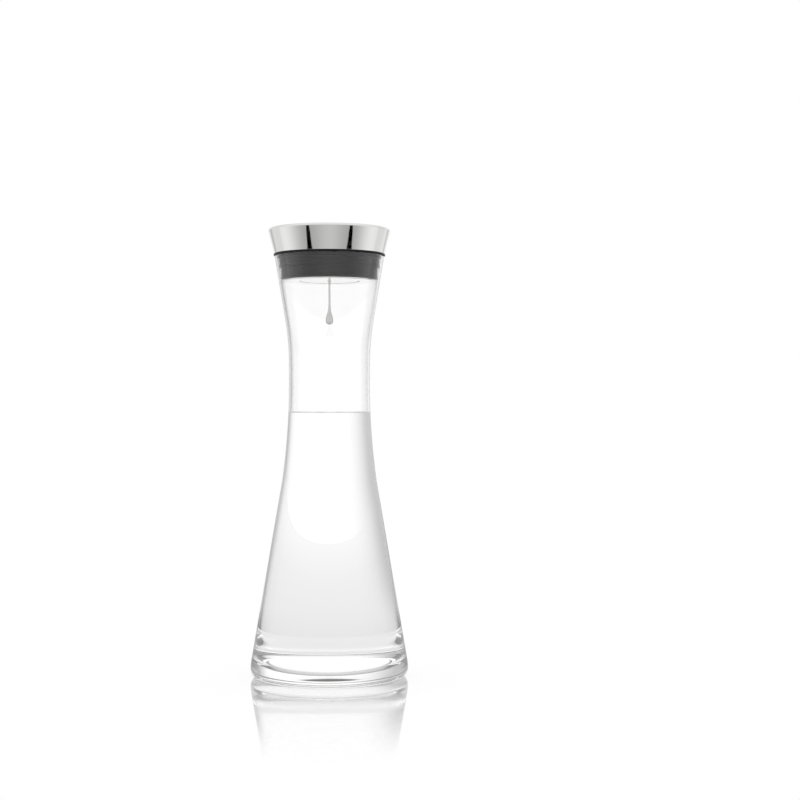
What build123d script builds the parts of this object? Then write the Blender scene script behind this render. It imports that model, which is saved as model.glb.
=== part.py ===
from build123d import *

import os
from math import asin, atan2, degrees, tan

# A glass water carafe with a pouring stopper that shuts itself.
#
# Millimetres, +Z up. The origin is on the table, under the middle of the glass,
# and every piece is turned about the Z axis.
#
# The glass is a cone on a heavy foot, with a slim waist and a flared mouth. The stopper
# hangs in the mouth by the flange of its gasket. It has a steel skirt with a rolled lip,
# a pouring funnel, a moulded core, a lipped gasket and a seat ring. A pressed disc lies on
# a washer in the seat ring, with a drop-shaped weight under it. When the carafe tips, the
# weight swings and rocks the disc up about its rim.

os.makedirs("parts", exist_ok=True)

# ---------------------------------------------------------------- driving dimensions

# Glass, outer face, from the table upwards
foot_radius = 51.0
foot_height = 8.2  # where the upright foot meets the cone
foot_corner = 5.5
foot_swell = 27.0  # round between the foot and the cone
stand_width = 6.0  # flat ring that the glass stands on
kick_up = 1.2  # hollow under the foot
cone_height = 127.0  # table to the kink
kink_radius = 30.6
kink_round = 25.0
shoulder_height = 33.0  # kink to the foot of the waist
shoulder_ease = 0.92  # share of the shoulder that is curved
waist_radius = 26.3
waist_length = 56.4
flare_ease = 0.6  # share of the waist above the shoulder's curve that is curved
mouth_height = 56.0  # top of the waist to the rim
mouth_radius = 35.7

# Glass, inner face
wall = 1.5
foot_wall = 4.0  # wall where the cone meets the floor
floor_thickness = 5.5
floor_corner = 15.0
rim_round = 0.5

# Steel skirt and funnel
collar_height = 16.4
collar_flare = 4.4  # skirt's upper edge outside its lower edge, before it is rolled
collar_proud = 0.3  # skirt's lower edge outside the mouth of the glass
steel_sheet = 0.7
lip_width = 3.0
lip_round = 1.4
lip_leg = 3.4  # height of the rolled lip's inner leg
funnel_tuck = 1.3  # top of the funnel below the top of the lip
funnel_floor = 5.6  # funnel's outer corner above the skirt's lower edge
funnel_fall = 3.0  # drop of the funnel's floor towards the throat
funnel_corner = 6.0
throat_round = 1.4
sheet_edge = 0.2  # broken edges of all pressed sheet

# Gasket
flange_thickness = 1.2
flange_proud = 0.5  # gasket flange outside the mouth of the glass
stopper_depth = 15.4  # rim of the glass to the top of the seat ring
gasket_wall = 1.1  # gasket's thinnest wall, at its foot
lip_drops = (1.4, 7.4)  # rim of the glass to the middle of each upper sealing lip
lip_reach = 1.4  # lowest lip beyond the gasket's foot
lip_flare = 0.4  # each lip beyond the wall above it
lip_rise = 0.9  # height over which the wall runs out into a lip
lip_blunt = 0.5  # thickness of a lip's edge
lip_slope = 0.3  # fall of a lip's underside
lip_edge = 0.2
lip_gap = 0.15  # sealing lips to the glass
flange_edge = 0.4

# Core
core_wall = 2.1
ceiling_thickness = 2.0  # core between the funnel and the valve chamber
core_edge = 0.4

# Seat ring
ring_plate = 1.0
ring_proud = 1.0  # plate beyond the core
ring_edge = 0.6
opening_edge = 0.25
boss_wall = 1.8
boss_height = 5.0

# O-rings
seat_cord = 1.0
funnel_cord = 1.4
groove_slack = 0.2

# Valve
washer_width = 5.2
washer_thickness = 0.8
washer_slack = 0.3  # washer to the boss round it
disc_sheet = 0.6
disc_overlap = 1.8  # disc over the edge of its opening
pan_gap = 0.3  # pan of the disc to the opening
pan_recess = 0.2  # pan above the underside of the seat ring
pan_bend = 0.9
rim_bend = 0.25
disc_keep = 3.6  # ceiling over the edge of the disc

# Pendulum
rod_radius = 0.65
rod_shoulder_radius = 1.2
rod_shoulder_thickness = 0.4
thread_radius = 0.5
hang = 28.1  # seat ring's underside to the tip of the drop
drop_radius = 2.5
drop_length = 16.6
drop_swell = 0.45  # share of the swell a third of the way up from the widest place
thread_depth = 4.0  # rod's end inside the drop
rod_washer_radius = 2.4
rod_washer_thickness = 0.4
nut_flats = 3.6
nut_height = 1.5
nut_dome = 1.1

# Clearances
fit = 0.05  # between pieces that are pressed or screwed together
hole_slack = 0.05  # round the rod's thread


# ---------------------------------------------------------------- drawing helpers


def radius_at(low, high, height):
    """Radius at a height on the straight line from low to high."""
    share = (height - low.Y) / (high.Y - low.Y)
    return low.X + share * (high.X - low.X)


def height_at(near, far, radius):
    """Height at a radius on the straight line from near to far."""
    share = (radius - near.X) / (far.X - near.X)
    return near.Y + share * (far.Y - near.Y)


def moved_left(points, bends, distance):
    """Corners and bend radii of a path after each leg has moved left by distance."""
    corners = [Vector(*point) for point in points]
    legs = [(end - start).normalized() for start, end in zip(corners, corners[1:])]
    lefts = [Vector(-leg.Y, leg.X) for leg in legs]
    moved = [
        corner + (before + after) * (distance / (1 + before.dot(after)))
        for corner, before, after in zip(corners, lefts[:1] + lefts, lefts + lefts[-1:])
    ]
    turns = [1 if leg.cross(after).Z > 0 else -1 for leg, after in zip(legs, legs[1:])]
    return moved, [bend - turn * distance for bend, turn in zip(bends, turns)]


def outline(points, rounds):
    """Fill a closed outline, with each corner rounded by its own radius."""
    with BuildLine() as border:
        FilletPolyline(points, radius=rounds, close=True)
    make_face(border.line)


def bent_sheet(points, bends, thickness):
    """Fill a section of bent sheet. Its face follows points, and it lies to their left."""
    back, back_bends = moved_left(points, bends, thickness)
    edges = [sheet_edge, sheet_edge]
    rounds = edges[:1] + bends + edges + back_bends[::-1] + edges[:1]
    outline([Vector(*point) for point in points] + back[::-1], rounds)


# ---------------------------------------------------------------- derived sizes

# Glass. The side wall's corners run from the foot up to the rim.
glass_height = cone_height + shoulder_height + waist_length + mouth_height
neck_lean = atan2(kink_radius - waist_radius, shoulder_height)
shoulder_run = shoulder_ease * shoulder_height
shoulder_round = shoulder_run / tan(neck_lean / 2)
mouth_lean = atan2(mouth_radius - waist_radius, mouth_height)
flare_round = flare_ease * (waist_length - shoulder_run) / tan(mouth_lean / 2)
side = [
    (foot_radius, foot_height),
    (kink_radius, cone_height),
    (waist_radius, cone_height + shoulder_height),
    (waist_radius, glass_height - mouth_height),
    (mouth_radius, glass_height),
]
side_bends = [kink_round, shoulder_round, flare_round]
inner, inner_bends = moved_left(side, side_bends, wall)
rim_inner_radius = radius_at(inner[3], inner[4], glass_height)

# Stopper, levels
collar_base = glass_height + flange_thickness
top = collar_base + collar_height
ring_top = glass_height - stopper_depth
ring_bottom = ring_top - ring_plate
boss_top = ring_top + boss_height
seat_groove_level = ring_top + boss_height / 2
core_base = ring_top + fit
washer_top = ring_top + washer_thickness
lip_levels = [glass_height - drop for drop in lip_drops]
lip_levels.append(core_base + lip_slope + lip_blunt / 2)

# Stopper, radii inwards from the glass
collar_radius = mouth_radius + collar_proud
collar_top_radius = collar_radius + collar_flare
flange_radius = mouth_radius + flange_proud
lip_radii = [radius_at(inner[3], inner[4], level) - lip_gap for level in lip_levels]
gasket_foot_radius = lip_radii[-1] - lip_reach
core_radius = gasket_foot_radius - gasket_wall - fit
core_rim_radius = collar_radius - steel_sheet - fit
ring_radius = core_radius + ring_proud
bore_radius = core_radius - core_wall
boss_radius = bore_radius - fit
boss_inner_radius = boss_radius - boss_wall
washer_radius = boss_inner_radius - washer_slack
washer_inner_radius = washer_radius - washer_width
opening_radius = washer_inner_radius - washer_slack / 2
pan_radius = opening_radius - pan_gap
disc_radius = opening_radius + disc_overlap
throat_radius = disc_radius - disc_keep
hole_radius = thread_radius + hole_slack

# Funnel's face, from its top edge down to the throat. It is parallel to the skirt at the
# top, and its edge is under the leg of the rolled lip.
skirt_lean = collar_flare / collar_height
lip_inner_radius = collar_top_radius - lip_width
funnel_top_radius = lip_inner_radius + steel_sheet + fit
funnel_floor_radius = funnel_top_radius - (collar_height - funnel_floor) * skirt_lean
throat_level = collar_base + funnel_floor - funnel_fall
ceiling = throat_level - steel_sheet - ceiling_thickness
funnel_face = [
    (funnel_top_radius, top - funnel_tuck),
    (funnel_floor_radius, collar_base + funnel_floor),
    (throat_radius, throat_level),
    (throat_radius, ceiling),
]
funnel_bends = [funnel_corner, throat_round]

# The core's top is the back of the funnel, with a groove for the O-ring under the floor.
core_top, core_top_bends = moved_left(funnel_face, funnel_bends, steel_sheet + fit)
core_rim_level = height_at(core_top[2], core_top[1], core_rim_radius)
funnel_groove_radius = (throat_radius + core_radius) / 2
funnel_groove_level = height_at(core_top[2], core_top[1], funnel_groove_radius)

# Pendulum, levels
tip = ring_bottom - hang
widest = tip + drop_radius
drop_top = tip + drop_length
spigot_base = drop_top - thread_depth
pan_bottom = ring_bottom + pan_recess
shoulder_base = pan_bottom - rod_shoulder_thickness
pan_top = pan_bottom + disc_sheet
nut_base = pan_top + rod_washer_thickness
thread_top = nut_base + nut_height

# ---------------------------------------------------------------- glass

with BuildPart() as carafe_glass:
    with BuildSketch(Plane.XZ):
        with BuildLine():
            stand_radius = foot_radius - foot_corner - stand_width
            hollow = TangentArc((0, kick_up), (stand_radius, 0), tangent=(1, 0))
            FilletPolyline(
                [(stand_radius, 0), (foot_radius, 0)]
                + side
                + [(rim_inner_radius, glass_height)]
                + inner[3:0:-1]
                + [(foot_radius - foot_wall, floor_thickness), (0, floor_thickness)],
                radius=[foot_corner, foot_swell]
                + side_bends
                + [rim_round, rim_round]
                + inner_bends[::-1]
                + [floor_corner],
            )
            Line((0, floor_thickness), hollow @ 0)
        make_face()
    revolve(axis=Axis.Z)
carafe_glass.part.label = "carafe_glass"
export_step(carafe_glass.part, "parts/carafe_glass.step")

# ---------------------------------------------------------------- steel skirt and funnel

with BuildPart() as outer_collar:
    with BuildSketch(Plane.XZ):
        bent_sheet(
            [
                (collar_radius, collar_base),
                (collar_top_radius, top),
                (lip_inner_radius, top),
                (lip_inner_radius - lip_leg * skirt_lean, top - lip_leg),
            ],
            [lip_round, lip_round],
            steel_sheet,
        )
    revolve(axis=Axis.Z)
outer_collar.part.label = "outer_collar"
export_step(outer_collar.part, "parts/outer_collar.step")

with BuildPart() as pour_funnel:
    with BuildSketch(Plane.XZ):
        bent_sheet(funnel_face, funnel_bends, steel_sheet)
    revolve(axis=Axis.Z)
pour_funnel.part.label = "pour_funnel"
export_step(pour_funnel.part, "parts/pour_funnel.step")

# ---------------------------------------------------------------- core

# The core's tube is inside the gasket. Its rim lies on the gasket's flange inside the
# skirt, and its top carries the funnel.
with BuildPart() as stopper_core:
    with BuildSketch(Plane.XZ):
        outline(
            [
                (bore_radius, core_base),
                (core_radius, core_base),
                (core_radius, collar_base),
                (core_rim_radius, collar_base),
                (core_rim_radius, core_rim_level),
                core_top[2],
                (core_top[3].X, ceiling),
                (boss_inner_radius, ceiling),
                (boss_inner_radius, boss_top + fit),
                (bore_radius, boss_top + fit),
            ],
            [0, core_edge, 0, core_edge, core_edge, core_top_bends[1], 0, core_edge, 0, 0],
        )
    revolve(axis=Axis.Z)
    with BuildSketch(Plane.XZ):
        with Locations((funnel_groove_radius, funnel_groove_level)):
            Rectangle(funnel_cord + groove_slack, 2 * (funnel_cord + groove_slack))
    revolve(axis=Axis.Z, mode=Mode.SUBTRACT)
stopper_core.part.label = "stopper_core"
export_step(stopper_core.part, "parts/stopper_core.step")

# ---------------------------------------------------------------- gasket

# Each lip overhangs what is below it, and the wall above it runs out into it.
gasket_points = [
    (flange_radius, glass_height),
    (flange_radius, collar_base),
    (core_radius + fit, collar_base),
    (core_radius + fit, core_base),
    (gasket_foot_radius, core_base),
]
wall_tops = [level - lip_blunt / 2 - lip_slope for level in lip_levels[-2::-1]] + [glass_height]
for radius, level, wall_top in zip(lip_radii[::-1], lip_levels[::-1], wall_tops):
    gasket_points += [
        (radius, level - lip_blunt / 2),
        (radius, level + lip_blunt / 2),
        (radius - lip_flare, level + lip_blunt / 2 + lip_rise),
        (radius - lip_flare, wall_top),
    ]
gasket_rounds = [flange_edge, flange_edge, 0, 0] + [lip_edge] * (len(gasket_points) - 5) + [0]

with BuildPart() as stopper_gasket:
    with BuildSketch(Plane.XZ):
        outline(gasket_points, gasket_rounds)
    revolve(axis=Axis.Z)
stopper_gasket.part.label = "stopper_gasket"
export_step(stopper_gasket.part, "parts/stopper_gasket.step")

# ---------------------------------------------------------------- seat ring and O-rings

with BuildPart() as seat_ring:
    with BuildSketch(Plane.XZ):
        outline(
            [
                (opening_radius, ring_bottom),
                (ring_radius, ring_bottom),
                (ring_radius, ring_top),
                (boss_radius, ring_top),
                (boss_radius, boss_top),
                (boss_inner_radius, boss_top),
                (boss_inner_radius, ring_top),
                (opening_radius, ring_top),
            ],
            [opening_edge, ring_edge, opening_edge, 0, opening_edge, opening_edge, 0, opening_edge],
        )
    revolve(axis=Axis.Z)
    with BuildSketch(Plane.XZ):
        with Locations((boss_radius, seat_groove_level)):
            Rectangle(2 * (seat_cord + fit), seat_cord + groove_slack)
    revolve(axis=Axis.Z, mode=Mode.SUBTRACT)
seat_ring.part.label = "seat_ring"
export_step(seat_ring.part, "parts/seat_ring.step")

with BuildPart() as seat_oring:
    with BuildSketch(Plane.XZ):
        with Locations((boss_radius - seat_cord / 2, seat_groove_level)):
            Circle(seat_cord / 2)
    revolve(axis=Axis.Z)
seat_oring.part.label = "seat_oring"
export_step(seat_oring.part, "parts/seat_oring.step")

with BuildPart() as funnel_oring:
    with BuildSketch(Plane.XZ):
        with Locations((funnel_groove_radius, funnel_groove_level - funnel_cord / 2 - fit)):
            Circle(funnel_cord / 2)
    revolve(axis=Axis.Z)
funnel_oring.part.label = "funnel_oring"
export_step(funnel_oring.part, "parts/funnel_oring.step")

# ---------------------------------------------------------------- valve

with BuildPart() as seat_washer:
    with BuildSketch(Plane.XY.offset(ring_top)):
        Circle(washer_radius)
        Circle(washer_inner_radius, mode=Mode.SUBTRACT)
    extrude(amount=washer_thickness)
seat_washer.part.label = "seat_washer"
export_step(seat_washer.part, "parts/seat_washer.step")

with BuildPart() as valve_disc:
    with BuildSketch(Plane.XZ):
        bent_sheet(
            [
                (hole_radius, pan_bottom),
                (pan_radius, pan_bottom),
                (pan_radius, washer_top),
                (disc_radius, washer_top),
            ],
            [pan_bend, rim_bend],
            disc_sheet,
        )
    revolve(axis=Axis.Z)
valve_disc.part.label = "valve_disc"
export_step(valve_disc.part, "parts/valve_disc.step")

# ---------------------------------------------------------------- pendulum

with BuildPart() as pendulum_rod:
    with BuildSketch(Plane.XZ):
        outline(
            [
                (0, spigot_base),
                (thread_radius, spigot_base),
                (thread_radius, drop_top),
                (rod_radius, drop_top),
                (rod_radius, shoulder_base),
                (rod_shoulder_radius, shoulder_base),
                (rod_shoulder_radius, pan_bottom),
                (thread_radius, pan_bottom),
                (thread_radius, thread_top),
                (0, thread_top),
            ],
            [0] * 10,
        )
    revolve(axis=Axis.Z)
pendulum_rod.part.label = "pendulum_rod"
export_step(pendulum_rod.part, "parts/pendulum_rod.step")

# The drop swells from the rod to its widest place and closes in half a ball.
with BuildPart() as drop_weight:
    with BuildSketch(Plane.XZ):
        with BuildLine():
            nose = TangentArc((0, tip), (drop_radius, widest), tangent=(1, 0))
            swell = Spline(
                nose @ 1,
                (
                    rod_radius + drop_swell * (drop_radius - rod_radius),
                    widest + (drop_top - widest) / 3,
                ),
                (rod_radius, drop_top),
                tangents=((0, 1), (0, 1)),
            )
            Polyline(
                swell @ 1,
                (thread_radius, drop_top),
                (thread_radius, spigot_base),
                (0, spigot_base),
                nose @ 0,
            )
        make_face()
    revolve(axis=Axis.Z)
drop_weight.part.label = "drop_weight"
export_step(drop_weight.part, "parts/drop_weight.step")

with BuildPart() as rod_washer:
    with BuildSketch(Plane.XY.offset(pan_top)):
        Circle(rod_washer_radius)
        Circle(hole_radius, mode=Mode.SUBTRACT)
    extrude(amount=rod_washer_thickness)
rod_washer.part.label = "rod_washer"
export_step(rod_washer.part, "parts/rod_washer.step")

with BuildPart() as cap_nut:
    with BuildSketch(Plane.XY.offset(nut_base)):
        RegularPolygon(nut_flats / 2, 6, major_radius=False)
    extrude(amount=nut_height)
    with BuildSketch(Plane.XZ):
        with BuildLine():
            dome = EllipticalCenterArc(
                (0, thread_top), nut_flats / 2, nut_dome, start_angle=0, arc_size=90
            )
            Polyline(dome @ 1, (0, thread_top), dome @ 0)
        make_face()
    revolve(axis=Axis.Z)
    with BuildSketch(Plane.XY.offset(nut_base)):
        Circle(thread_radius)
    extrude(amount=nut_height, mode=Mode.SUBTRACT)
cap_nut.part.label = "cap_nut"
export_step(cap_nut.part, "parts/cap_nut.step")

# The disc rocks about its edge until the far side meets the ceiling over it.
room = ceiling - washer_top - disc_sheet
print(f"height {top:.2f}, seat level {washer_top:.2f}, disc radius {disc_radius:.3f}")
print(f"disc can rock {degrees(asin(room / (2 * disc_radius))):.2f} degrees")
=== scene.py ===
from math import atan2, ceil, cos, pi, radians, sin, tan

import bpy
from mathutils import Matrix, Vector


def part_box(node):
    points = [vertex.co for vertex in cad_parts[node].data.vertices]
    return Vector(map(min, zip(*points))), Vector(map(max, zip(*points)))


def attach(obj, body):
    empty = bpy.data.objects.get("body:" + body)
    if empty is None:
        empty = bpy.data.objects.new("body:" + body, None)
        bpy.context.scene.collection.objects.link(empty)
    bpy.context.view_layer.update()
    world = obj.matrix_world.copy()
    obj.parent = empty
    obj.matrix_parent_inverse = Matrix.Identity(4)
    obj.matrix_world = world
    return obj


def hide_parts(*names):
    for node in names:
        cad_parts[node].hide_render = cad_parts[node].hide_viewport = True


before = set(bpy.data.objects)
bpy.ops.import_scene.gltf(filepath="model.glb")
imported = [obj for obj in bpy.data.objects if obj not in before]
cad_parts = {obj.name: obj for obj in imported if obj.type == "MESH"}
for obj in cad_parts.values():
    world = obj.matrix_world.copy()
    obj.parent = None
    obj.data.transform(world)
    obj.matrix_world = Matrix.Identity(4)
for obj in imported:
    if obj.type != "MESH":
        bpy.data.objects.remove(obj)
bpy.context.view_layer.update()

bl_info = {
    "name": "Water Carafe",
    "version": (1, 0, 0),
    "blender": (4, 5, 0),
    "location": "3D View > Sidebar > Carafe",
    "description": "Glass, water and finishes of a water carafe with a pouring stopper",
    "category": "Object",
}

GLASS_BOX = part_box("carafe_glass")
FOOT_RADIUS = min(abs(side) for corner in GLASS_BOX for side in corner[:2])

TINY = 1e-7  # metres below which two points of a path are one
STRAIGHT = radians(0.1)  # turn below which a corner needs no round
FAINT = 0.995  # brightness of the darker parts of a clear material
NOISE_LOW, NOISE_HIGH = 0.3, 0.7  # the values that most of a noise lies between
RING_DRIFT = 0.0004  # metres that the pattern of the polishing rings shifts for each radian
LOOKING = 0.5  # cosine of the turn within which a face looks in a direction
SURFACE_RISE = 0.3  # least upward part of the normal of the water's open surface
SHUT, OPEN = 0.25, 0.85  # share of open surroundings in a crevice and clear of it


# ---------------------------------------------------------------- settings


def length(name, description, default):
    """A size in metres that a user may change."""
    return bpy.props.FloatProperty(
        name=name, description=description, default=default, min=0.0, precision=5, unit="LENGTH"
    )


def angle(name, description, default):
    """An angle in radians that a user may change."""
    return bpy.props.FloatProperty(
        name=name, description=description, default=default, min=0.0, precision=3, subtype="ANGLE"
    )


def share(name, description, default, high=1.0):
    """A plain number from 0 upwards, such as a roughness."""
    return bpy.props.FloatProperty(
        name=name, description=description, default=default, min=0.0, max=high, precision=3
    )


def colour(name, description, default):
    """A colour, as light that comes back from the surface."""
    return bpy.props.FloatVectorProperty(
        name=name, description=description, default=default, size=3, min=0.0, max=1.0, subtype="COLOR"
    )


class CarafeGlassSettings(bpy.types.PropertyGroup):
    foot_radius: length("Foot radius", "Outside of the foot", FOOT_RADIUS)
    foot_height: length("Foot height", "Table to the top of the upright foot", 0.0082)
    foot_corner: length("Foot corner", "Round under the foot", 0.0055)
    foot_swell: length("Foot swell", "Round between the foot and the cone", 0.027)
    stand_width: length("Stand width", "Flat ring that the glass stands on", 0.006)
    kick_up: length("Kick-up", "Hollow under the foot", 0.0012)
    cone_height: length("Cone height", "Table to the kink", 0.127)
    kink_radius: length("Kink radius", "Outside of the glass at the kink", 0.0306)
    kink_round: length("Kink round", "Round at the kink", 0.025)
    shoulder_height: length("Shoulder height", "Kink to the foot of the waist", 0.033)
    shoulder_ease: share("Shoulder ease", "Share of the shoulder that is curved", 0.92)
    waist_radius: length("Waist radius", "Outside of the waist", 0.0263)
    waist_length: length("Waist length", "Straight part of the waist before it is rounded", 0.0564)
    flare_ease: share("Flare ease", "Share of the waist above the shoulder that is curved", 0.6)
    mouth_radius: length("Mouth radius", "Outside of the rim", 0.0357)
    wall: length("Wall", "Thickness of the wall", 0.0015)
    foot_wall: length("Foot wall", "Wall where the cone meets the floor", 0.004)
    floor_thickness: length("Floor thickness", "Glass under the water", 0.0055)
    floor_corner: length("Floor corner", "Round between the floor and the wall", 0.015)
    rim_round: length("Rim round", "Round of the rim's edges", 0.0005)
    bend: share("Bending of light", "Index of refraction of the glass", 1.5, 3.0)
    tint: colour("Tint", "Colour of the glass", (1.0, 1.0, 1.0))
    # painted shade: faces of the glass turned away from the eye past the edge start are darkened towards the
    # edge shade
    edge_start: share("Edge start", "Turn of the face away from the eye where the edge tone starts", 0.55)
    edge_shade: share("Edge tone", "Light that glass seen edge-on lets through", 0.08)
    # painted light: paths inside the glass or water past the depth limit end in a glow of the depth tone,
    # dimmer in the shaded foot and paler at the bottom of the foot
    depth_limit: share("Depth limit", "Bounces after which a path inside the glass ends", 6.5, 12.0)
    depth_tone: share("Depth tone", "Light that such a long path ends in", 0.1)
    wet_limit: share("Wet depth limit", "Bounces after which a path inside the water ends", 3.5, 12.0)
    wet_tone: share("Wet depth tone", "Light that such a long path ends in", 0.55)
    pale_top: length("Pale foot", "Height of the foot, where long paths end in a paler tone", 0.0056)
    pale_fade: length("Pale fade", "Height over which that paler tone fades out", 0.0005)
    pale_tone: share("Pale tone", "Light that a long path in the foot ends in", 1.0)
    shade_top: length("Shaded foot", "Height up to which the inside of the foot is shaded", 0.035)
    shade_tone: share("Shade tone", "Share of that light that is left in the shaded foot", 0.35)
    waves_scale: share("Waves scale", "Number of faint waves in a metre of glass", 40.0, 500.0)
    waves_depth: length("Waves depth", "Depth of the faint waves", 0.000003)
    marks_scale: share("Marks scale", "Number of wiping marks in a metre", 35.0, 500.0)
    marks_depth: share("Marks roughness", "Roughness that wiping marks add", 0.03)


class CarafeWaterSettings(bpy.types.PropertyGroup):
    level: length("Level", "Table to the middle of the water's surface", 0.1707)
    creep: length("Creep", "Height that the water climbs at the glass", 0.0008)
    creep_width: length("Creep width", "Width of the climbing edge", 0.0022)
    seat: length("Seat", "Depth of the water's skin in the face of the glass", 0.00002)
    bend: share("Bending of light", "Index of refraction of the water", 1.333, 3.0)
    tint: colour("Tint", "Colour of the water", (1.0, 1.0, 1.0))
    ripple_scale: share("Ripple scale", "Number of ripples in a metre of water", 60.0, 500.0)
    ripple_depth: length("Ripple depth", "Depth of the ripples", 0.000002)


class CarafeSteelSettings(bpy.types.PropertyGroup):
    tint: colour("Tint", "Colour of the polished steel", (0.80, 0.80, 0.79))
    pendulum_tint: colour("Pendulum tint", "Colour of the rod and the drop", (0.62, 0.62, 0.615))
    polish: share("Roughness", "Roughness of the polished faces", 0.035)
    rings_scale: share("Rings scale", "Number of polishing rings in a metre", 2600.0, 9000.0)
    rings_depth: length("Rings depth", "Depth of the polishing rings", 0.0000004)
    rings_gloss: share("Rings roughness", "Roughness that the polishing rings add", 0.03)
    marks_scale: share("Marks scale", "Number of wiping marks in a metre", 60.0, 500.0)
    marks_depth: share("Marks roughness", "Roughness that wiping marks add", 0.04)
    wear_width: length("Wear width", "Width of the rubbed edges", 0.0003)
    wear_depth: share("Wear roughness", "Roughness of the rubbed edges", 0.12)
    dust_scale: share("Dust scale", "Number of dust specks in a metre", 900.0, 5000.0)
    dust_tint: colour("Dust tint", "Colour of the dust", (0.6, 0.6, 0.6))
    dust_tone: share("Dust tone", "How much the dust shows", 0.12)
    dust_depth: share("Dust roughness", "Roughness that dust adds", 0.2)
    cloud_scale: share("Cloud scale", "Number of faint clouds in a metre", 55.0, 500.0)
    cloud_tone: share("Cloud tone", "Brightness of the darker clouds", 0.985)


class CarafeSiliconeSettings(bpy.types.PropertyGroup):
    tint: colour("Tint", "Colour of the silicone", (0.01, 0.01, 0.0104))
    roughness: share("Roughness", "Roughness of the moulded skin", 0.42)
    gloss: share("Gloss", "Strength of the sheen", 0.1)
    # painted shade: in crevices the base colour is darkened towards the crevice shade
    crevice: length("Crevice", "Depth of the crevices that light hardly reaches", 0.004)
    crevice_tone: share("Crevice tone", "Share of light in the crevices", 0.1)
    crevice_shade: share("Crevice tint", "Brightness that the tint has in the crevices", 0.3)
    plastic_tint: colour("Core tint", "Colour of the core's plastic", (0.02, 0.02, 0.021))
    plastic_roughness: share("Core roughness", "Roughness of the core's plastic", 0.55)
    grain_scale: share("Grain scale", "Number of grains in a metre", 2400.0, 9000.0)
    grain_depth: length("Grain depth", "Depth of the moulded grain", 0.000002)
    marks_scale: share("Marks scale", "Number of wiping marks in a metre", 80.0, 500.0)
    marks_depth: share("Marks gloss", "Roughness that wiping marks take away", 0.08)
    wear_width: length("Wear width", "Width of the rubbed edges", 0.0003)
    wear_tint: colour("Wear tint", "Colour of the rubbed edges", (0.16, 0.16, 0.16))
    wear_tone: share("Wear tone", "How much the rubbed edges show", 0.3)
    dust_scale: share("Dust scale", "Number of dust specks in a metre", 900.0, 5000.0)
    dust_tint: colour("Dust tint", "Colour of the dust", (0.45, 0.44, 0.42))
    dust_tone: share("Dust tone", "How much the dust shows", 0.25)
    cloud_scale: share("Cloud scale", "Number of faint clouds in a metre", 120.0, 500.0)
    cloud_tone: share("Cloud tone", "Brightness of the paler clouds", 1.25, 3.0)
    cloud_depth: share("Cloud roughness", "Change of roughness from cloud to cloud", 0.08)


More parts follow.
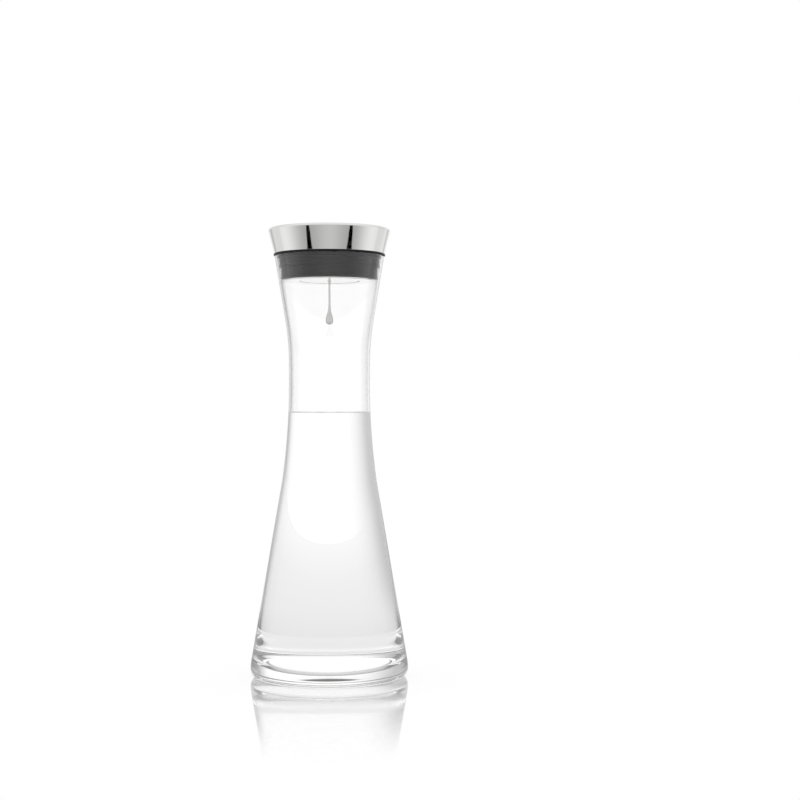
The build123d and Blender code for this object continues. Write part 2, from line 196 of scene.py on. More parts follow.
class CarafeStageSettings(bpy.types.PropertyGroup):
    camera_distance: length("Camera distance", "Camera to the carafe's middle", 1.0075)
    camera_aside: length("Camera offset", "Camera to the right of the carafe", 0.0458)
    camera_height: length("Camera height", "Camera above the table", 0.179)
    camera_near: length("Camera near limit", "Nearest point that the camera sees", 0.02)
    lens: bpy.props.FloatProperty(
        name="Lens", description="Focal length", default=69.8, min=1.0, subtype="DISTANCE_CAMERA"
    )
    table_back: length("Table depth", "Carafe's middle to the far edge of the table", 0.4)
    table_near: length("Table reach", "Carafe's middle to the near edge of the table", 2.6)
    table_side: length("Table side", "Carafe's middle to the side edges of the table", 2.2)
    table_tone: share("Table tone", "Light that the table gives back", 0.97)
    table_mirror: share("Table mirror", "Share of mirror in the table's gloss", 0.7)
    white_start: length("White start", "Distance from the carafe where the fade to plain white starts", 0.1)
    white_end: length("White end", "Distance from the carafe where the table is plain white", 0.25)
    # painted shade and light on the table as glass sees it: a plain tone that rises away from the carafe
    glass_wash: share("Wash through glass", "Share of plain tone on the table behind glass", 0.85)
    glass_tone: share("Tone through glass", "Plain tone of the table behind glass", 0.725)
    glass_reach: length("Reach through glass", "Distance over which the tone behind glass rises", 0.3)
    glass_rise: share("Rise through glass", "Rise of the tone behind glass", 0.12)
    far_start: length("Far start", "Distance where the tone behind glass starts to rise further", 0.26)
    far_end: length("Far end", "Distance where the tone behind glass stops rising", 0.42)
    far_rise: share("Far rise", "Further rise of the tone behind glass", 0.08)
    # painted shade on the table as mirrors see it: darker towards the camera, beside the black strips and
    # behind the carafe
    front_tone: share("Front tone", "Tone in a mirror of the table towards the camera", 0.66)
    flag_tone: share("Flag tone", "Tone in a mirror of the table beside the black strips", 0.47)
    rear_tone: share("Rear tone", "Tone in a mirror of the table behind the carafe", 0.6)
    side_bearing: angle("Side bearing", "Bearing where the table is brightest in a mirror", 1.5)
    rear_bearing: angle("Rear bearing", "Bearing where the table behind is darkest in a mirror", 0.75)
    table_front: share("Table front tone", "Share of light on the front of the table", 0.95)
    table_left: share("Table left tone", "Share of light on the left of the table", 0.5)
    table_right: share("Table right tone", "Share of light on the right of the table", 0.5)
    back_light: share("Back light", "Light from the backdrop", 1.05, 2.0)
    front_start: angle("Front start", "Bearing where the front of the studio starts to brighten", 1.0)
    front_end: angle("Front end", "Bearing where the front of the studio is brightest", 1.35)
    front_light: share("Front light", "Light from the front of the studio", 0.95)
    horizon_tone: share("Horizon tone", "Light that mirrors see at the edge of the table", 0.65)
    horizon_width: share("Horizon width", "Height over which that edge fades into the backdrop", 0.05)
    horizon_height: bpy.props.FloatProperty(
        name="Horizon height", description="Rise of the way to that edge", default=-0.05, min=-1.0, max=1.0
    )
    mirror_side: share("Side light in mirrors", "Light from the sides of the studio that mirrors see", 0.85)
    left_start: angle("Left start", "Bearing where the backdrop starts to darken on the left", 0.20)
    left_end: angle("Left end", "Bearing where the backdrop is darkest on the left", 0.80)
    left_tone: share("Left tone", "Light from the dark left side", 0.55)
    right_start: angle("Right start", "Bearing where the backdrop starts to darken on the right", 0.52)
    right_end: angle("Right end", "Bearing where the backdrop is darkest on the right", 1.05)
    right_tone: share("Right tone", "Light from the dark right side", 0.4)
    # painted light: a white spot on the table under the foot, as glass sees it
    under_radius: length("Under radius", "Radius of the spot under the foot that glass shows white", 0.02)
    under_fade: length("Under fade", "Width over which that spot fades out", 0.006)
    table_gloss: share("Table roughness", "Roughness of the table", 0.045)
    table_grain: share("Table grain", "Roughness that the table's mottle adds", 0.02)
    studio_turn: angle("Studio turn", "Turn of the table's light and strips about the carafe", 0.0454)
    flag_bearing: angle("Flag bearing", "Bearing of the black strips to either side of the front", 0.73)
    flag_start: length("Flag start", "Carafe's middle to the near end of the black strips", 0.64)
    flag_length: length("Flag length", "Length of the black strips", 0.16)
    flag_near_width: length("Flag near width", "Width of the black strips at the near end", 0.17)
    flag_far_width: length("Flag far width", "Width of the black strips at the far end", 0.045)
    flag_lift: length("Flag lift", "Height of the black strips over the table", 0.003)
    flag_light: share("Flag light", "Light from the black strips", 0.0)


# ---------------------------------------------------------------- shapes


def rounded(corners, rounds, turn=radians(3), step=0.0015):
    """Points along an open path of (radius, height) corners, with each inner corner rounded."""
    ends = [Vector(corner) for corner in corners]
    path = [ends[0]]
    for before, here, after, bend in zip(ends, ends[1:], ends[2:], rounds):
        back, on = (before - here).normalized(), (after - here).normalized()
        swing = pi - back.angle(on)
        if bend <= 0 or swing < STRAIGHT:
            path.append(here)
            continue
        reach = bend * tan(swing / 2)
        start, finish = here + back * reach, here + on * reach
        centre = here + (back + on).normalized() * (bend / cos(swing / 2))
        count = max(2, ceil(swing / turn), ceil(bend * swing / step))
        first, last = start - centre, finish - centre
        for number in range(count + 1):
            part = number / count
            mix = first * sin((1 - part) * swing) + last * sin(part * swing)
            path.append(centre + mix / sin(swing))
    path.append(ends[-1])
    full = [path[0]]
    for point in path[1:]:
        run = point - full[-1]
        if run.length < TINY:
            continue
        count = ceil(run.length / step)
        origin = full[-1]
        full += [origin + run * (number / count) for number in range(1, count + 1)]
    return full


def moved_inwards(corners, bends, distance):
    """Corners and bend radii of a wall's outer path after it has moved to its left."""
    ends = [Vector(corner) for corner in corners]
    legs = [(b - a).normalized() for a, b in zip(ends, ends[1:])]
    lefts = [Vector((-leg.y, leg.x)) for leg in legs]
    moved = [
        corner + (before + after) * (distance / (1 + before.dot(after)))
        for corner, before, after in zip(ends, lefts[:1] + lefts, lefts + lefts[-1:])
    ]
    turns = [1 if a.x * b.y - a.y * b.x > 0 else -1 for a, b in zip(legs, legs[1:])]
    return moved, [bend - side * distance for bend, side in zip(bends, turns)]


def lathe(name, profile, sectors=192):
    """A closed body turned about the Z axis from a (radius, height) profile that starts and ends on it."""
    turns = [(cos(2 * pi * n / sectors), sin(2 * pi * n / sectors)) for n in range(sectors)]
    verts = [(0, 0, profile[0].y)]
    for point in profile[1:-1]:
        verts += [(point.x * across, point.x * along, point.y) for across, along in turns]
    verts.append((0, 0, profile[-1].y))
    rings = len(profile) - 2
    faces = []
    for n in range(sectors):
        m = (n + 1) % sectors
        faces.append((0, m + 1, n + 1))
        for ring in range(rings - 1):
            low, high = 1 + ring * sectors, 1 + (ring + 1) * sectors
            faces.append((low + n, low + m, high + m, high + n))
        high = 1 + (rings - 1) * sectors
        faces.append((high + n, high + m, len(verts) - 1))
    data = bpy.data.meshes.new(name)
    data.from_pydata(verts, [], faces)
    data.polygons.foreach_set("use_smooth", [True] * len(faces))
    data.validate()
    body = bpy.data.objects.new(name, data)
    bpy.context.scene.collection.objects.link(body)
    return body


def glass_sides(sizes):
    """Corners and bend radii of the glass's outer and inner side, from the foot up to the rim."""
    neck_lean = atan2(sizes.kink_radius - sizes.waist_radius, sizes.shoulder_height)
    shoulder_run = sizes.shoulder_ease * sizes.shoulder_height
    waist_foot = sizes.cone_height + sizes.shoulder_height
    waist_top = waist_foot + sizes.waist_length
    height = GLASS_BOX[1].z
    mouth_lean = atan2(sizes.mouth_radius - sizes.waist_radius, height - waist_top)
    bends = [
        sizes.kink_round,
        shoulder_run / tan(neck_lean / 2),
        sizes.flare_ease * (sizes.waist_length - shoulder_run) / tan(mouth_lean / 2),
    ]
    outer = [
        (sizes.foot_radius, sizes.foot_height),
        (sizes.kink_radius, sizes.cone_height),
        (sizes.waist_radius, waist_foot),
        (sizes.waist_radius, waist_top),
        (sizes.mouth_radius, height),
    ]
    inner, inner_bends = moved_inwards(outer, bends, sizes.wall)
    low, high = inner[3], inner[4]
    rim = (low.x + (high.x - low.x) * (height - low.y) / (high.y - low.y), height)
    return outer, bends, [rim] + inner[3:0:-1], inner_bends[::-1]


def glass_inside(sizes):
    """Corners and bend radii of the glass's inner face, from the rim down to the middle of the floor."""
    inner, inner_bends = glass_sides(sizes)[2:]
    foot = Vector((sizes.foot_radius - sizes.foot_wall, sizes.floor_thickness))
    return inner + [foot, Vector((0, foot.y))], inner_bends + [sizes.floor_corner]


def foot_hollow(sizes, stand, steps=24):
    """Points of the hollow under the foot, from the middle out to the flat ring that the glass stands on."""
    bend = (stand**2 + sizes.kick_up**2) / (2 * sizes.kick_up)
    tilt = atan2(stand, bend - sizes.kick_up)
    turns = [tilt * n / steps for n in range(steps)]
    return [Vector((bend * sin(turn), sizes.kick_up - bend * (1 - cos(turn)))) for turn in turns]


def glass_profile(sizes, top):
    """The glass from under its foot, up the outside and down the inside, with a point at the wetted top."""
    stand = sizes.foot_radius - sizes.foot_corner - sizes.stand_width
    outer, bends = glass_sides(sizes)[:2]
    inside, inside_rounds = glass_inside(sizes)
    corners = [(stand, 0), (sizes.foot_radius, 0)] + outer + inside
    rounds = [sizes.foot_corner, sizes.foot_swell] + bends + [sizes.rim_round] * 2 + inside_rounds
    profile = foot_hollow(sizes, stand) + rounded(corners, rounds)
    last = max(number for number, point in enumerate(profile) if point.y > top)
    above, below = profile[last], profile[last + 1]
    profile.insert(last + 1, above.lerp(below, (above.y - top) / (above.y - below.y)))
    return profile


def water_profile(sizes, water, steps=14):
    """The water from the middle of the floor, up along the wall and over its surface to the middle."""
    wall = rounded(*glass_inside(sizes))
    top = water.level + water.creep
    wet = [point for point in wall if point.y < top]
    above = wall[len(wall) - len(wet) - 1]
    edge = wet[0].lerp(above, (top - wet[0].y) / (above.y - wet[0].y))
    line = [edge] + wet
    side = []
    for before, here, after in zip(line[:1] + line, line, line[1:] + line[-1:]):
        way = (after - before).normalized()
        side.append(here + Vector((-way.y, way.x)) * water.seat)
    side[-1] = Vector((0, wet[-1].y - water.seat))
    skin = []
    for n in range(1, steps + 1):
        across = n / steps
        rise = water.creep * (1 - across) ** 3
        skin.append(Vector((edge.x - water.creep_width * across, water.level + rise)))
    return side[::-1] + skin + [Vector((0, water.level))]


# ---------------------------------------------------------------- shader parts


def add_node(tree, kind, inputs=None, **settings):
    """A new node with its inputs linked or set."""
    made = tree.nodes.new(kind)
    for name, value in settings.items():
        setattr(made, name, value)
    for key, value in (inputs or {}).items():
        if isinstance(value, bpy.types.NodeSocket):
            tree.links.new(value, made.inputs[key])
        else:
            made.inputs[key].default_value = value
    return made


def new_material(name):
    """An empty material with its output node."""
    material = bpy.data.materials.new(name)
    material.use_nodes = True
    material.node_tree.nodes.clear()
    output = material.node_tree.nodes.new("ShaderNodeOutputMaterial")
    return material, material.node_tree, output


def principled(tree, output, inputs):
    """The material's main shader, linked to its output."""
    shader = add_node(tree, "ShaderNodeBsdfPrincipled", inputs)
    tree.links.new(shader.outputs["BSDF"], output.inputs["Surface"])


def calc(tree, operation, *values):
    """The result of a Math node."""
    return add_node(tree, "ShaderNodeMath", dict(enumerate(values)), operation=operation).outputs[0]


def ramp(tree, value, start, end, low=0.0, high=1.0, way="SMOOTHSTEP"):
    """A value that goes from low to high as the input goes from start to end."""
    sizes = {"Value": value, "From Min": start, "From Max": end, "To Min": low, "To Max": high}
    return add_node(tree, "ShaderNodeMapRange", sizes, interpolation_type=way).outputs["Result"]


def blend(tree, factor, first, second):
    """A number between two others."""
    inputs = {"Factor": factor, 2: first, 3: second}
    return add_node(tree, "ShaderNodeMix", inputs, data_type="FLOAT").outputs[0]


def tinted(tree, factor, first, second):
    """A colour between two others."""
    inputs = {"Factor": factor, 6: first, 7: second}
    return add_node(tree, "ShaderNodeMix", inputs, data_type="RGBA").outputs[2]


def shaded(tint, level=1.0):
    """A tint at a level of its brightness, with its alpha."""
    return (*[min(1.0, part * level) for part in tint], 1.0)


def axes(tree, vector):
    """The X, Y and Z of a vector."""
    return add_node(tree, "ShaderNodeSeparateXYZ", {0: vector}).outputs


def span(tree, vector):
    """The length of a vector."""
    return add_node(tree, "ShaderNodeVectorMath", {0: vector}, operation="LENGTH").outputs["Value"]


def noise(tree, place, scale, detail=3.0, distortion=0.0):
    """The value of a Noise Texture."""
    inputs = {"Vector": place, "Scale": scale, "Detail": detail, "Distortion": distortion}
    return add_node(tree, "ShaderNodeTexNoise", inputs).outputs[0]


def object_place(tree):
    """Where a point lies on its piece."""
    return add_node(tree, "ShaderNodeTexCoord").outputs["Object"]


def relief(tree, height, depth):
    """A normal that follows a height."""
    inputs = {"Height": height, "Distance": depth, "Strength": 1.0}
    return add_node(tree, "ShaderNodeBump", inputs).outputs["Normal"]


def node_group(name, inputs, outputs, build):
    """The shader node group of that name, built the first time that it is asked for."""
    group = bpy.data.node_groups.get(name)
    if group is None:
        group = bpy.data.node_groups.new(name, "ShaderNodeTree")
        for label, kind in inputs.items():
            group.interface.new_socket(label, in_out="INPUT", socket_type=f"NodeSocket{kind}")
        for label, kind in outputs.items():
            group.interface.new_socket(label, in_out="OUTPUT", socket_type=f"NodeSocket{kind}")
        results = build(group, add_node(group, "NodeGroupInput").outputs)
        add_node(group, "NodeGroupOutput", results)
    return group


def use_group(tree, group, inputs):
    """The outputs of a node group."""
    return add_node(tree, "ShaderNodeGroup", inputs, node_tree=group).outputs


def grain_group():
    """Fine moulded grain, as a height."""

    def build(group, start):
        fine = noise(group, start["Place"], start["Scale"], detail=4.0)
        pits = add_node(
            group, "ShaderNodeTexVoronoi", {"Vector": start["Place"], "Scale": start["Scale"]}
        ).outputs["Distance"]
        return {"Height": calc(group, "MULTIPLY_ADD", pits, 0.5, fine)}

    return node_group("Moulded grain", {"Place": "Vector", "Scale": "Float"}, {"Height": "Float"}, build)


def rings_group():
    """Fine rings that turning and polishing leave about the upright axis, as a height."""

    def build(group, start):
        place = axes(group, start["Place"])
        flat = add_node(group, "ShaderNodeCombineXYZ", {"X": place["X"], "Y": place["Y"]}).outputs[0]
        radius = span(group, flat)
        drift = calc(group, "MULTIPLY", calc(group, "ARCTAN2", place["X"], place["Y"]), RING_DRIFT)
        around = {"X": radius, "Y": place["Z"], "Z": drift}
        around = add_node(group, "ShaderNodeCombineXYZ", around).outputs[0]
        return {"Height": noise(group, around, start["Scale"], detail=2.0)}

    return node_group("Polishing rings", {"Place": "Vector", "Scale": "Float"}, {"Height": "Float"}, build)


def wear_group():
    """Sharp edges that hands and washing have rubbed, as a mask."""

    def build(group, start):
        soft = add_node(group, "ShaderNodeBevel", {"Radius": start["Width"]}, samples=4).outputs["Normal"]
        hard = add_node(group, "ShaderNodeNewGeometry").outputs["Normal"]
        match = add_node(group, "ShaderNodeVectorMath", {0: soft, 1: hard}, operation="DOT_PRODUCT")
        edge = ramp(group, match.outputs["Value"], 0.99, 0.9)
        patches = ramp(group, noise(group, start["Place"], scale=260.0), 0.35, 0.65)
        return {"Mask": calc(group, "MULTIPLY", edge, patches)}

    return node_group("Edge wear", {"Place": "Vector", "Width": "Float"}, {"Mask": "Float"}, build)


def marks_group():
    """Faint marks left by wiping, as a mask."""

    def build(group, start):
        place, scale = start["Place"], start["Scale"]
        wide = ramp(group, noise(group, place, scale, detail=2.0, distortion=0.6), 0.48, 0.72)
        closer = calc(group, "MULTIPLY", scale, 9.0)
        fine = ramp(group, noise(group, place, closer, detail=4.0, distortion=1.4), 0.4, 0.7)
        return {"Mask": calc(group, "MULTIPLY", wide, fine)}

    return node_group("Wiping marks", {"Place": "Vector", "Scale": "Float"}, {"Mask": "Float"}, build)


def dust_group():
    """Specks of dust on faces that look up, as a mask."""

    def build(group, start):
        normal = add_node(group, "ShaderNodeNewGeometry").outputs["Normal"]
        up = ramp(group, axes(group, normal)["Z"], 0.5, 0.95)
        specks = ramp(group, noise(group, start["Place"], start["Scale"], detail=5.0), 0.62, 0.72)
        return {"Mask": calc(group, "MULTIPLY", up, specks)}

    return node_group("Dust", {"Place": "Vector", "Scale": "Float"}, {"Mask": "Float"}, build)


def handling(tree, place, settings):
    """Masks of the wiping marks, the rubbed edges and the dust on a piece."""
    marks = use_group(tree, marks_group(), {"Place": place, "Scale": settings.marks_scale})["Mask"]
    wear = use_group(tree, wear_group(), {"Place": place, "Width": settings.wear_width})["Mask"]
    dust = use_group(tree, dust_group(), {"Place": place, "Scale": settings.dust_scale})["Mask"]
    return marks, wear, dust


def falloff(tree, stage, place, left_tone, right_tone, front_tone):
    """The studio's tones from the bright backdrop to its darker sides and on to its front."""
    split = axes(tree, place)
    bearing = calc(tree, "ARCTAN2", split["X"], split["Y"])
    left = ramp(tree, bearing, -stage.left_start, -stage.left_end, stage.back_light, left_tone)
    right = ramp(tree, bearing, stage.right_start, stage.right_end, stage.back_light, right_tone)
    away = calc(tree, "ABSOLUTE", bearing)
    front = ramp(tree, away, stage.front_start, stage.front_end, 0.0, front_tone)
    return calc(tree, "MAXIMUM", calc(tree, "MINIMUM", left, right), front)


def set_materials(piece, *materials):
    """Puts materials in a piece's slots, in order."""
    slots = piece.data.materials
    for number, material in enumerate(materials):
        if number < len(slots):
            slots[number] = material
        else:
            slots.append(material)


def finish_pieces(material, *names):
    """Gives pieces of the frame one material."""
    for name in names:
        set_materials(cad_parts[name], material)


# ---------------------------------------------------------------- materials


def clear_glass(sizes, name, bend, bounces, tone, edge_shade):
    """Fire-polished glass with painted shade where it is seen edge-on, in which long light paths end in a
    painted glow of a plain tone.
    """
    material, tree, output = new_material(name)
    place = object_place(tree)
    marks = use_group(tree, marks_group(), {"Place": place, "Scale": sizes.marks_scale})["Mask"]
    waves = noise(tree, place, sizes.waves_scale, detail=1.0)
    # painted light: paths past the bounce limit end in a glow, dimmer in the shaded foot up to its top and
    # paler at the bottom of the foot
    depth = add_node(tree, "ShaderNodeLightPath").outputs["Ray Depth"]
    deep = calc(tree, "GREATER_THAN", depth, bounces)
    height = axes(tree, place)["Z"]
    above = ramp(tree, height, sizes.shade_top / 2, sizes.shade_top, sizes.shade_tone * tone, tone)
    ends = ramp(tree, height, sizes.pale_top, sizes.pale_top + sizes.pale_fade, sizes.pale_tone, above)
    clear = tinted(tree, waves, shaded(sizes.tint), shaded(sizes.tint, FAINT))
    # painted shade: above the bottom of the foot, faces turned away from the eye darken towards the edge
    # shade
    facing = add_node(tree, "ShaderNodeLayerWeight", {"Blend": 0.5}).outputs["Facing"]
    upright = ramp(tree, height, sizes.pale_top / 2, sizes.pale_top)
    edge = calc(tree, "MULTIPLY", upright, ramp(tree, facing, sizes.edge_start, 1.0))
    clear = tinted(tree, edge, clear, shaded(sizes.tint, edge_shade))
    glow = calc(tree, "MULTIPLY", deep, ends)
    principled(
        tree,
        output,
        {
            "Base Color": tinted(tree, deep, clear, (0, 0, 0, 1)),
            "Roughness": calc(tree, "MULTIPLY", marks, sizes.marks_depth),
            "IOR": bend,
            "Transmission Weight": 1.0,
            "Normal": relief(tree, waves, sizes.waves_depth),
            "Emission Color": tinted(tree, glow, (0, 0, 0, 1), (1, 1, 1, 1)),
            "Emission Strength": 1.0,
        },
    )
    return material


def still_water(sizes):
    """Clear water with a hardly moving surface."""
    material, tree, output = new_material("Still water")
    waves = noise(tree, object_place(tree), sizes.ripple_scale, detail=2.0)
    principled(
        tree,
        output,
        {
            "Base Color": tinted(tree, waves, shaded(sizes.tint), shaded(sizes.tint, FAINT)),
            "Roughness": 0.0,
            "IOR": sizes.bend,
            "Transmission Weight": 1.0,
            "Normal": relief(tree, waves, sizes.ripple_depth),
        },
    )
    return material


def hidden_water():
    """The sides of the water, which the glass's own faces stand for."""
    material, tree, output = new_material("Water against glass")
    shade = noise(tree, object_place(tree), scale=30.0)
    tint = tinted(tree, shade, (1, 1, 1, 1), (0.98, 0.99, 1, 1))
    principled(tree, output, {"Base Color": tint, "Alpha": 0.0})
    return material


def polished_steel(name, tint, settings):
    """Turned stainless steel with a mirror polish."""
    material, tree, output = new_material(name)
    place = object_place(tree)
    rings = use_group(tree, rings_group(), {"Place": place, "Scale": settings.rings_scale})["Height"]
    marks, wear, dust = handling(tree, place, settings)
    cloud = noise(tree, place, settings.cloud_scale, detail=2.0)
    body = tinted(tree, cloud, shaded(tint, settings.cloud_tone), shaded(tint))
    dusted = calc(tree, "MULTIPLY", dust, settings.dust_tone)
    body = tinted(tree, dusted, body, shaded(settings.dust_tint))
    rough = calc(tree, "MULTIPLY_ADD", marks, settings.marks_depth, settings.polish)
    rough = calc(tree, "MULTIPLY_ADD", rings, settings.rings_gloss, rough)
    rough = calc(tree, "MULTIPLY_ADD", wear, settings.wear_depth, rough)
    rough = calc(tree, "MULTIPLY_ADD", dust, settings.dust_depth, rough)
    principled(
        tree,
        output,
        {
            "Base Color": body,
            "Metallic": 1.0,
            "Roughness": rough,
            "Normal": relief(tree, rings, settings.rings_depth),
        },
    )
    return material


def moulded_material(name, tint, roughness, settings):
    """Satin moulded rubber or plastic with a fine grain, a little dust and painted shade in its crevices."""
    material, tree, output = new_material(name)
    place = object_place(tree)
    grain = use_group(tree, grain_group(), {"Place": place, "Scale": settings.grain_scale})["Height"]
    marks, wear, dust = handling(tree, place, settings)
    cloud = noise(tree, place, settings.cloud_scale)
    body = tinted(tree, cloud, shaded(tint), shaded(tint, settings.cloud_tone))
    # painted shade: where ambient occlusion finds the surroundings close, the base colour darkens to a share
    # of the tint
    near = {"Distance": settings.crevice}
    free = add_node(tree, "ShaderNodeAmbientOcclusion", near, samples=8).outputs["AO"]
    free = ramp(tree, free, SHUT, OPEN, settings.crevice_tone, 1.0)
    body = tinted(tree, free, shaded(tint, settings.crevice_shade), body)
    for mask, tone, pale in (
        (wear, settings.wear_tone, settings.wear_tint),
        (dust, settings.dust_tone, settings.dust_tint),
    ):
        body = tinted(tree, calc(tree, "MULTIPLY", mask, tone), body, shaded(pale))
    rough = calc(tree, "MULTIPLY_ADD", cloud, settings.cloud_depth, roughness - settings.cloud_depth / 2)
    rough = calc(tree, "MULTIPLY_ADD", marks, -settings.marks_depth, rough)
    principled(
        tree,
        output,
        {
            "Base Color": body,
            "Roughness": rough,
            "Specular IOR Level": settings.gloss,
            "Normal": relief(tree, grain, settings.grain_depth),
        },
    )
    return material


# ---------------------------------------------------------------- stage


def add_piece(name, corners, material):
    """A flat piece of the stage."""
    data = bpy.data.meshes.new(name)
    data.from_pydata(corners, [], [tuple(range(len(corners)))])
    piece = bpy.data.objects.new(name, data)
    bpy.context.scene.collection.objects.link(piece)
    data.materials.append(material)
    return piece


def add_card(name, corners, tone):
    """A flat card on the stage that only mirrors see."""
    material, tree, output = new_material(name.replace("_", " ").capitalize())
    mottle = noise(tree, object_place(tree), scale=6.0)
    strength = ramp(tree, mottle, NOISE_LOW, NOISE_HIGH, tone * 0.99, tone * 1.01)
    shade = add_node(tree, "ShaderNodeEmission", {"Strength": strength})
    tree.links.new(shade.outputs["Emission"], output.inputs["Surface"])
    piece = add_piece(name, corners, material)
    piece.visible_camera = False
    piece.visible_diffuse = False
    piece.visible_shadow = False
    piece.visible_transmission = False
    return piece


def table_behind(tree, stage, place):
    """The painted tone that the table has when it is seen through glass: painted shade near the carafe and to
    the sides, and a painted white spot under the foot.
    """
    sides = falloff(tree, stage, place, stage.table_left, stage.table_right, stage.table_front)
    reach = span(tree, place)
    risen = stage.glass_tone + stage.glass_rise
    near = ramp(tree, reach, 0.0, stage.glass_reach, stage.glass_tone, risen, "LINEAR")
    far = ramp(tree, reach, stage.far_start, stage.far_end, 0.0, stage.far_rise)
    tone = calc(tree, "MULTIPLY", calc(tree, "ADD", near, far), sides)
    under = ramp(tree, reach, stage.under_radius, stage.under_radius + stage.under_fade, 1.0, 0.0)
    return calc(tree, "MAXIMUM", tone, under)


def table_mirrored(tree, stage, place):
    """The painted tone that the table has in a mirror, by its bearing from the carafe: painted shade towards
    the camera, beside the black strips and behind the carafe.
    """
    split = axes(tree, place)
    shift = calc(tree, "MULTIPLY", split["Y"], tan(stage.studio_turn))
    aside = calc(tree, "ADD", split["X"], shift)
    back = calc(tree, "ABSOLUTE", calc(tree, "ARCTAN2", aside, split["Y"]))
    front = ramp(tree, back, pi - stage.flag_bearing, pi, stage.flag_tone, stage.front_tone)
    side = ramp(tree, back, pi - stage.flag_bearing, stage.side_bearing, stage.flag_tone, 1.0)
    rear = ramp(tree, back, stage.rear_bearing, stage.side_bearing, stage.rear_tone, 1.0)
    return calc(tree, "MULTIPLY", calc(tree, "MAXIMUM", front, side), rear)


def white_table(stage):
    """A white gloss table top that looks plain white away from the carafe, glows in painted tones where
    mirrors and glass see it, and is clear from below.
    """
    material, tree, output = new_material("White table")
    place = object_place(tree)
    mottle = noise(tree, place, scale=9.0)
    white = [stage.table_tone] * 3
    rough = stage.table_gloss + stage.table_grain
    surface = add_node(
        tree,
        "ShaderNodeBsdfPrincipled",
        {
            "Base Color": tinted(tree, mottle, shaded(white, 0.99), shaded(white)),
            "Roughness": ramp(tree, mottle, NOISE_LOW, NOISE_HIGH, stage.table_gloss, rough),
            "Metallic": stage.table_mirror,
            "IOR": 1.5,
        },
    )
    lit = ramp(tree, span(tree, place), stage.white_start, stage.white_end)
    path = add_node(tree, "ShaderNodeLightPath").outputs
    wash, tone = 0.0, 0.0
    # painted light: mirrors see the table glow in its mirrored tone, glass mostly in its tone behind glass,
    # and the camera in plain white that fades in away from the carafe
    for ray, part, level in (
        (path["Is Glossy Ray"], 1.0, table_mirrored(tree, stage, place)),
        (path["Is Transmission Ray"], stage.glass_wash, table_behind(tree, stage, place)),
        (path["Is Camera Ray"], lit, 1.0),
    ):
        wash = blend(tree, ray, wash, part)
        tone = blend(tree, ray, tone, level)
    glow = add_node(tree, "ShaderNodeEmission", {"Strength": tone})
    top = add_node(
        tree, "ShaderNodeMixShader", {0: wash, 1: surface.outputs["BSDF"], 2: glow.outputs["Emission"]}
    )
    below = add_node(tree, "ShaderNodeNewGeometry").outputs["Backfacing"]
    clear = add_node(tree, "ShaderNodeBsdfTransparent").outputs["BSDF"]
    mix = add_node(tree, "ShaderNodeMixShader", {0: below, 1: top.outputs["Shader"], 2: clear})
    tree.links.new(mix.outputs["Shader"], output.inputs["Surface"])
    return material


def studio_world(stage):
    """White light all round, darker at the sides where mirrors and glass look."""
    world = bpy.data.worlds.new("Studio")
    world.use_nodes = True
    tree = world.node_tree
    tree.nodes.clear()
    way = add_node(tree, "ShaderNodeTexCoord").outputs["Generated"]
    path = add_node(tree, "ShaderNodeLightPath").outputs
    through = path["Is Transmission Ray"]
    tones = (stage.left_tone, stage.right_tone)
    left, right = (blend(tree, through, stage.mirror_side, tone) for tone in tones)
    backdrop = falloff(tree, stage, way, left, right, stage.front_light)
    height = axes(tree, way)["Z"]
    off = calc(tree, "ABSOLUTE", calc(tree, "SUBTRACT", height, stage.horizon_height))
    low = ramp(tree, off, 0.0, stage.horizon_width, stage.horizon_tone, 1.0)
    backdrop = calc(tree, "MULTIPLY", backdrop, blend(tree, through, low, 1.0))
    plain = calc(tree, "MAXIMUM", path["Is Camera Ray"], path["Is Diffuse Ray"])
    shown = blend(tree, plain, backdrop, 1.0)
    back = add_node(tree, "ShaderNodeBackground", {"Color": (1, 1, 1, 1), "Strength": shown})
    out = add_node(tree, "ShaderNodeOutputWorld")
    tree.links.new(back.outputs["Background"], out.inputs["Surface"])
    return world


# ---------------------------------------------------------------- operators


class CARAFE_OT_blow_glass(bpy.types.Operator):
    """Makes the glass body"""

    bl_idname = "carafe.blow_glass"
    bl_label = "Glass Body"

    def execute(self, context):
        sizes = context.scene.carafe_glass
        water = context.scene.carafe_water
        top = water.level + water.creep
        body = lathe("glass_body", glass_profile(sizes, top))
        clear = clear_glass(
            sizes, "Clear glass", sizes.bend, sizes.depth_limit, sizes.depth_tone, sizes.edge_shade
        )
        bend = sizes.bend / water.bend
        wetted = clear_glass(sizes, "Wetted glass", bend, sizes.wet_limit, sizes.wet_tone, 1.0)
        set_materials(body, clear, wetted)
        for face in body.data.polygons:
            outward = Vector((face.center.x, face.center.y, 0)).normalized()
            inside = face.normal.z > -LOOKING and face.normal.dot(outward) < LOOKING
            face.material_index = int(inside and face.center.z < top)
        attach(body, "carafe")
        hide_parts("carafe_glass")
        return {"FINISHED"}


class CARAFE_OT_pour_water(bpy.types.Operator):
    """Fills the glass with still water up to its level"""

    bl_idname = "carafe.pour_water"
    bl_label = "Water"

    def execute(self, context):
        sizes, water = context.scene.carafe_glass, context.scene.carafe_water
        body = lathe("still_water", water_profile(sizes, water))
        set_materials(body, still_water(water), hidden_water())
        for face in body.data.polygons:
            face.material_index = int(face.normal.z < SURFACE_RISE)
        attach(body, "carafe")
        return {"FINISHED"}


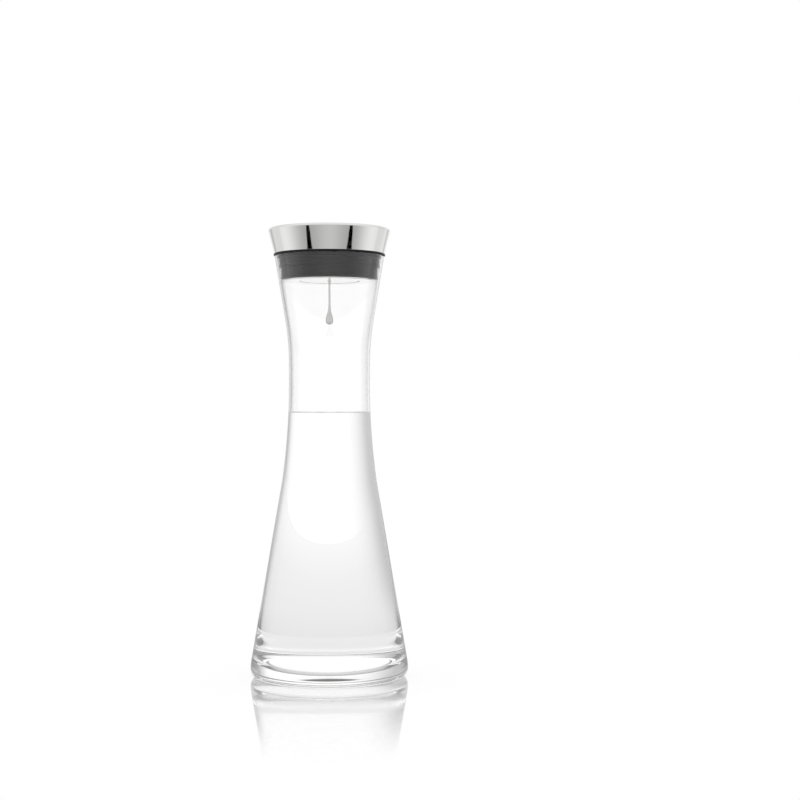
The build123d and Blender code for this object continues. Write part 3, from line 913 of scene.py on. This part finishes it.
class CARAFE_OT_polish_steel(bpy.types.Operator):
    """Gives the steel pieces their finish"""

    bl_idname = "carafe.polish_steel"
    bl_label = "Steel"

    def execute(self, context):
        settings = context.scene.carafe_steel
        steel = polished_steel("Polished steel", settings.tint, settings)
        finish_pieces(
            steel, "outer_collar", "pour_funnel", "seat_ring", "valve_disc", "rod_washer", "cap_nut"
        )
        steel = polished_steel("Pendulum steel", settings.pendulum_tint, settings)
        finish_pieces(steel, "pendulum_rod", "drop_weight")
        return {"FINISHED"}


class CARAFE_OT_mould_soft_parts(bpy.types.Operator):
    """Gives the silicone pieces and the moulded core their finish"""

    bl_idname = "carafe.mould_soft_parts"
    bl_label = "Silicone and Core"

    def execute(self, context):
        settings = context.scene.carafe_silicone
        silicone = moulded_material("Black silicone", settings.tint, settings.roughness, settings)
        finish_pieces(silicone, "stopper_gasket", "funnel_oring", "seat_oring", "seat_washer")
        plastic = moulded_material(
            "Core plastic", settings.plastic_tint, settings.plastic_roughness, settings
        )
        finish_pieces(plastic, "stopper_core")
        return {"FINISHED"}


class CARAFE_OT_set_stage(bpy.types.Operator):
    """Sets the table, the black strips on it, the light and the camera"""

    bl_idname = "carafe.set_stage"
    bl_label = "Stage"

    def execute(self, context):
        scene = context.scene
        stage = scene.carafe_stage
        wide, front, back = stage.table_side, -stage.table_near, stage.table_back
        corners = [(-wide, front, 0), (wide, front, 0), (wide, back, 0), (-wide, back, 0)]
        add_piece("studio_table", corners, white_table(stage))
        for side, name in ((-1, "left_flag"), (1, "right_flag")):
            bearing = stage.studio_turn + side * stage.flag_bearing
            out = Vector((sin(bearing), -cos(bearing), 0))
            across = Vector((out.y, -out.x, 0)) / 2
            near, far = across * stage.flag_near_width, across * stage.flag_far_width
            start = out * stage.flag_start + Vector((0, 0, stage.flag_lift))
            finish = start + out * stage.flag_length
            corners = [start - near, start + near, finish + far, finish - far]
            add_card(name, corners, stage.flag_light)
        scene.world = studio_world(stage)
        lens = bpy.data.cameras.new("Studio camera")
        lens.lens = stage.lens
        lens.clip_start = stage.camera_near
        camera = bpy.data.objects.new("studio_camera", lens)
        camera.location = (stage.camera_aside, -stage.camera_distance, stage.camera_height)
        camera.rotation_euler = (pi / 2, 0, 0)
        scene.collection.objects.link(camera)
        scene.camera = camera
        scene.view_settings.view_transform = "Standard"
        return {"FINISHED"}


class CARAFE_PT_sidebar(bpy.types.Panel):
    """Every step with its settings"""

    bl_idname = "CARAFE_PT_sidebar"
    bl_label = "Water Carafe"
    bl_space_type = "VIEW_3D"
    bl_region_type = "UI"
    bl_category = "Carafe"

    def draw(self, context):
        layout = self.layout
        for operator, group in STEPS:
            box = layout.box()
            settings = getattr(context.scene, group)
            for name in settings.bl_rna.properties.keys():
                if name not in {"rna_type", "name"}:
                    box.prop(settings, name)
            box.operator(operator.bl_idname)


SETTINGS = {
    "carafe_glass": CarafeGlassSettings,
    "carafe_water": CarafeWaterSettings,
    "carafe_steel": CarafeSteelSettings,
    "carafe_silicone": CarafeSiliconeSettings,
    "carafe_stage": CarafeStageSettings,
}
STEPS = (
    (CARAFE_OT_blow_glass, "carafe_glass"),
    (CARAFE_OT_pour_water, "carafe_water"),
    (CARAFE_OT_polish_steel, "carafe_steel"),
    (CARAFE_OT_mould_soft_parts, "carafe_silicone"),
    (CARAFE_OT_set_stage, "carafe_stage"),
)


def register():
    for group in SETTINGS.values():
        bpy.utils.register_class(group)
    for name, group in SETTINGS.items():
        setattr(bpy.types.Scene, name, bpy.props.PointerProperty(type=group))
    for operator, _ in STEPS:
        bpy.utils.register_class(operator)
    bpy.utils.register_class(CARAFE_PT_sidebar)


def unregister():
    bpy.utils.unregister_class(CARAFE_PT_sidebar)
    for operator, _ in reversed(STEPS):
        bpy.utils.unregister_class(operator)
    for name, group in reversed(SETTINGS.items()):
        delattr(bpy.types.Scene, name)
        bpy.utils.unregister_class(group)


def main():
    register()
    for operator, _ in STEPS:
        family, call = operator.bl_idname.split(".")
        getattr(getattr(bpy.ops, family), call)()


if __name__ == "__main__":
    main()
